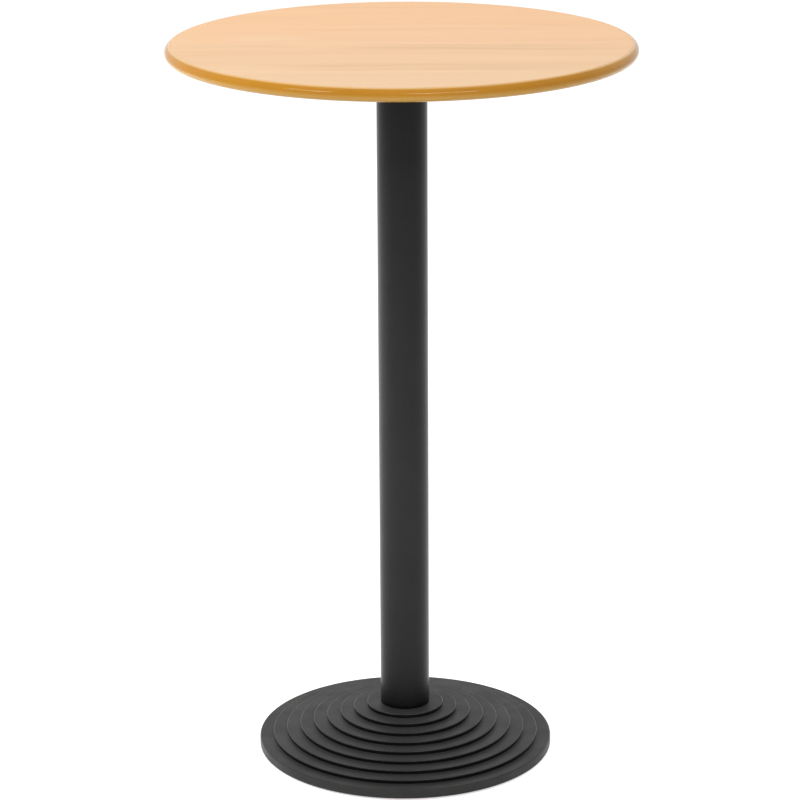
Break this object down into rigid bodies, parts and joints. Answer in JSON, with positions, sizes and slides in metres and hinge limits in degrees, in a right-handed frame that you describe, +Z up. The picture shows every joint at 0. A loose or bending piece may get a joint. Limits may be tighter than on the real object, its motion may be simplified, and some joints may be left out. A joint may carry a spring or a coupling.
{
  "type": "pub table",
  "caption": "Bar-height round pub table: beech-laminate disc top with bullnose edging, black tube column and stepped round cast base on levelling glides.",
  "frame": {"origin": "on the floor under the column's axis, in the middle of the four glide pads", "axes": "+Z up along the column's axis; X and Y along the arms of the spider under the top"},
  "size_m": [0.6899, 0.69, 1.1],
  "materials": {
    "beech_laminate": "satin high-pressure laminate with a straight beech grain",
    "backing_laminate": "plain matt balancing laminate",
    "core_board": "raw fibreboard",
    "edge_moulding": "glossy golden brown extruded moulding",
    "black_powder_coat": "satin black powder coat on steel and iron",
    "black_casting": "satin black paint over cast iron",
    "zinc_steel": "bright zinc plate",
    "black_nylon": "matt moulded nylon"
  },
  "bodies": {
    "table": {"top_core": "core_board", "top_laminate": "beech_laminate", "underside_laminate": "backing_laminate", "edge_moulding": "edge_moulding", "top_spider": "black_powder_coat", "column_tube": "black_powder_coat", "tie_rod": "zinc_steel", "base_casting": "black_casting", "top_screw_1": "zinc_steel", "top_screw_2": "zinc_steel", "top_screw_3": "zinc_steel", "top_screw_4": "zinc_steel", "top_screw_5": "zinc_steel", "top_screw_6": "zinc_steel", "top_screw_7": "zinc_steel", "top_screw_8": "zinc_steel", "rod_washer_lower": "zinc_steel", "rod_washer_upper": "zinc_steel", "rod_nut_lower": "zinc_steel", "rod_nut_upper": "zinc_steel"},
    "pad_1": {"glide_pad_1": "black_nylon"},
    "stud_1": {"glide_stud_1": "zinc_steel"},
    "pad_2": {"glide_pad_2": "black_nylon"},
    "stud_2": {"glide_stud_2": "zinc_steel"},
    "pad_3": {"glide_pad_3": "black_nylon"},
    "stud_3": {"glide_stud_3": "zinc_steel"},
    "pad_4": {"glide_pad_4": "black_nylon"},
    "stud_4": {"glide_stud_4": "zinc_steel"}
  },
  "joints": [
    {"name": "glide_1_lift", "type": "slide", "parent": "table", "child": "pad_1", "axis": [0, 0, -1], "range_m": [0, 0.007]},
    {"name": "glide_1_turn", "type": "hinge", "parent": "pad_1", "child": "stud_1", "pos_m": [0.12153, 0.12153, 0], "axis": [0, 0, -1], "range_deg": [0, 2015]},
    {"name": "glide_2_lift", "type": "slide", "parent": "table", "child": "pad_2", "axis": [0, 0, -1], "range_m": [0, 0.007]},
    {"name": "glide_2_turn", "type": "hinge", "parent": "pad_2", "child": "stud_2", "pos_m": [-0.12153, 0.12153, 0], "axis": [0, 0, -1], "range_deg": [0, 2015]},
    {"name": "glide_3_lift", "type": "slide", "parent": "table", "child": "pad_3", "axis": [0, 0, -1], "range_m": [0, 0.007]},
    {"name": "glide_3_turn", "type": "hinge", "parent": "pad_3", "child": "stud_3", "pos_m": [-0.12153, -0.12153, 0], "axis": [0, 0, -1], "range_deg": [0, 2015]},
    {"name": "glide_4_lift", "type": "slide", "parent": "table", "child": "pad_4", "axis": [0, 0, -1], "range_m": [0, 0.007]},
    {"name": "glide_4_turn", "type": "hinge", "parent": "pad_4", "child": "stud_4", "pos_m": [0.12153, -0.12153, 0], "axis": [0, 0, -1], "range_deg": [0, 2015]}
  ],
  "couplings": [
    {"joint": "glide_1_lift", "follows": "glide_1_turn", "m_per_rad": 0.00019894},
    {"joint": "glide_2_lift", "follows": "glide_2_turn", "m_per_rad": 0.00019894},
    {"joint": "glide_3_lift", "follows": "glide_3_turn", "m_per_rad": 0.00019894},
    {"joint": "glide_4_lift", "follows": "glide_4_turn", "m_per_rad": 0.00019894}
  ]
}
